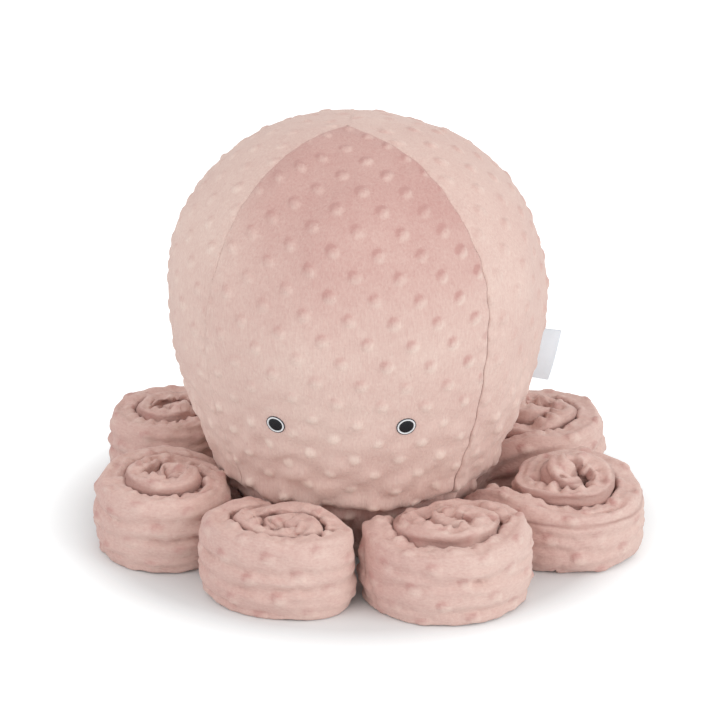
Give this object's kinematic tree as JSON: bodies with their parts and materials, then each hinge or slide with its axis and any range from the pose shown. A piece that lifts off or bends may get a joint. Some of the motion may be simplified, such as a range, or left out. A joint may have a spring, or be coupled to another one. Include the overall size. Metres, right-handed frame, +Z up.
{
  "type": "plush octopus",
  "caption": "Sitting plush octopus: a stuffed panelled head with embroidered eyes, and stuffed legs rolled up on edge around it that droop when it is lifted.",
  "frame": {"origin": "on the floor under the middle of the head, at the middle of the base panel's flat underside", "axes": "+Z up; the face looks towards -Y; +X is to the right of someone facing the toy's face from the front"},
  "size_m": [0.4391, 0.4236, 0.35],
  "materials": {
    "plush": "matte",
    "stuffing": "matte",
    "black_thread": "satin",
    "white_thread": "satin",
    "outline_thread": "satin",
    "label_tape": "satin"
  },
  "bodies": {
    "head": {"face_panel": "plush", "right_side_panel": "plush", "right_back_panel": "plush", "left_back_panel": "plush", "left_side_panel": "plush", "base_panel": "plush", "head_stuffing": "stuffing", "left_eye_pupil": "black_thread", "left_eye_white": "white_thread", "left_eye_outline": "outline_thread", "right_eye_pupil": "black_thread", "right_eye_white": "white_thread", "right_eye_outline": "outline_thread"},
    "label_flap": {"seam_label": "label_tape"},
    "front_left_leg": {"front_left_leg_cover": "plush", "front_left_leg_stuffing": "stuffing"},
    "front_right_leg": {"front_right_leg_cover": "plush", "front_right_leg_stuffing": "stuffing"},
    "right_leg": {"right_leg_cover": "plush", "right_leg_stuffing": "stuffing"},
    "back_right_leg": {"back_right_leg_cover": "plush", "back_right_leg_stuffing": "stuffing"},
    "rear_right_leg": {"rear_right_leg_cover": "plush", "rear_right_leg_stuffing": "stuffing"},
    "rear_left_leg": {"rear_left_leg_cover": "plush", "rear_left_leg_stuffing": "stuffing"},
    "back_left_leg": {"back_left_leg_cover": "plush", "back_left_leg_stuffing": "stuffing"},
    "left_leg": {"left_leg_cover": "plush", "left_leg_stuffing": "stuffing"}
  },
  "joints": [
    {"name": "label_bend", "type": "hinge", "parent": "head", "child": "label_flap", "pos_m": [0.13873, 0.0316, 0.133], "axis": [0.2498, 0.0194, 0.9681], "range_deg": [-70, 70], "stiffness_Nm_per_rad": 0.0001},
    {"name": "front_left_leg_droop", "type": "hinge", "parent": "head", "child": "front_left_leg", "pos_m": [-0.04553, -0.07533, 0.003], "axis": [-0.9272, 0.3746, 0], "range_deg": [-40, 3]},
    {"name": "front_right_leg_droop", "type": "hinge", "parent": "head", "child": "front_right_leg", "pos_m": [0.02463, -0.0845, 0.003], "axis": [-0.9033, -0.4289, 0], "range_deg": [-40, 3]},
    {"name": "right_leg_droop", "type": "hinge", "parent": "head", "child": "right_leg", "pos_m": [0.07739, -0.04193, 0.003], "axis": [-0.3305, -0.9438, 0], "range_deg": [-40, 3]},
    {"name": "back_right_leg_droop", "type": "hinge", "parent": "head", "child": "back_right_leg", "pos_m": [0.08508, 0.02256, 0.003], "axis": [0.4067, -0.9135, 0], "range_deg": [-40, 3]},
    {"name": "rear_right_leg_droop", "type": "hinge", "parent": "head", "child": "rear_right_leg", "pos_m": [0.04553, 0.07533, 0.003], "axis": [0.9272, -0.3746, 0], "range_deg": [-40, 3]},
    {"name": "rear_left_leg_droop", "type": "hinge", "parent": "head", "child": "rear_left_leg", "pos_m": [-0.01957, 0.08582, 0.003], "axis": [0.9272, 0.3746, 0], "range_deg": [-40, 3]},
    {"name": "back_left_leg_droop", "type": "hinge", "parent": "head", "child": "back_left_leg", "pos_m": [-0.07062, 0.05254, 0.003], "axis": [0.4617, 0.887, 0], "range_deg": [-40, 3]},
    {"name": "left_leg_droop", "type": "hinge", "parent": "head", "child": "left_leg", "pos_m": [-0.08624, -0.01762, 0.003], "axis": [-0.3535, 0.9354, 0], "range_deg": [-40, 3]}
  ]
}
